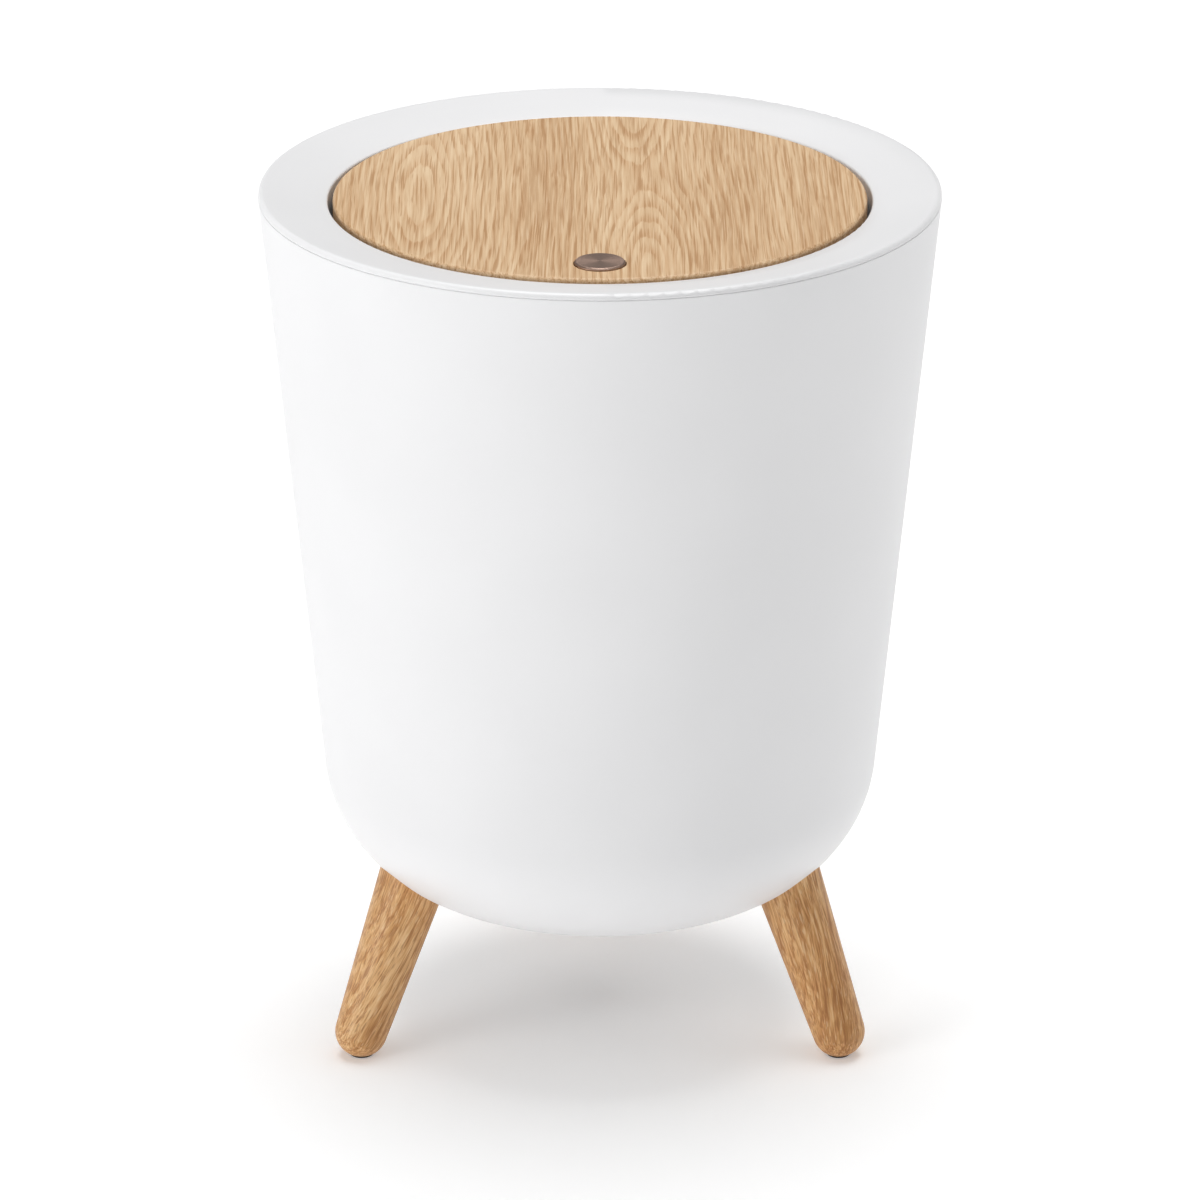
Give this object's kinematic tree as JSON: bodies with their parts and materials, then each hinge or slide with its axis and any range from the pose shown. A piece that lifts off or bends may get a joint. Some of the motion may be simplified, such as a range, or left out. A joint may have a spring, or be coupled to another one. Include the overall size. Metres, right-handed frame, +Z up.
{
  "type": "press-top waste bin",
  "caption": "Tapered white bin on splayed wooden legs, with a dished ring and a round wooden lid that opens on a rear hinge when the button in it is pressed.",
  "frame": {"origin": "centre of the bin's footprint on the floor", "axes": "+Z up along the bin's axis, -Y towards the front where the button is, +X to the right of someone facing the front"},
  "size_m": [0.245, 0.245, 0.3204],
  "materials": {
    "white_plastic": "satin moulded plastic",
    "leg_wood": "clear satin lacquer on turned wood",
    "lid_wood": "matt lacquer on flat-sawn wood",
    "brown_metal": "spun and anodised brown",
    "zinc_steel": "zinc plated",
    "spring_steel": "drawn wire",
    "natural_acetal": "moulded, uncoloured",
    "clear_silicone": "soft, matt",
    "dark_rubber": "matt"
  },
  "bodies": {
    "tub": {"body_shell": "white_plastic", "leg_front_left": "leg_wood", "leg_front_right": "leg_wood", "leg_rear": "leg_wood", "leg_screws": "zinc_steel", "leg_washers": "zinc_steel", "foot_pads": "dark_rubber"},
    "ring": {"lid_ring": "white_plastic", "lid_bumpers": "clear_silicone", "hinge_pin": "zinc_steel", "hinge_spring_left": "spring_steel", "hinge_spring_right": "spring_steel"},
    "lid": {"lid_panel": "lid_wood", "hinge_arm_left": "zinc_steel", "hinge_arm_right": "zinc_steel", "arm_screws": "zinc_steel", "lid_liner": "white_plastic", "liner_screws": "zinc_steel", "latch_cover": "white_plastic", "cover_screws": "zinc_steel", "latch_spring": "spring_steel"},
    "button": {"press_button": "brown_metal", "button_plunger": "natural_acetal"},
    "latch": {"latch_bolt": "natural_acetal"}
  },
  "joints": [
    {"name": "ring_lift", "type": "slide", "parent": "tub", "child": "ring", "axis": [0, 0, 1], "range_m": [0, 0.06]},
    {"name": "lid_hinge", "type": "hinge", "parent": "ring", "child": "lid", "pos_m": [0, 0.109, 0.31016], "axis": [-1, 0, 0], "range_deg": [0, 75]},
    {"name": "button_press", "type": "slide", "parent": "lid", "child": "button", "axis": [0, 0, -1], "range_m": [0, 0.003], "stiffness_N_per_m": 400, "springref_m": -0.004},
    {"name": "latch_slide", "type": "slide", "parent": "lid", "child": "latch", "axis": [0, 1, 0], "range_m": [0, 0.003], "deforming": ["latch_spring"]}
  ],
  "couplings": [
    {"joint": "latch_slide", "follows": "button_press", "ratio": 1}
  ]
}
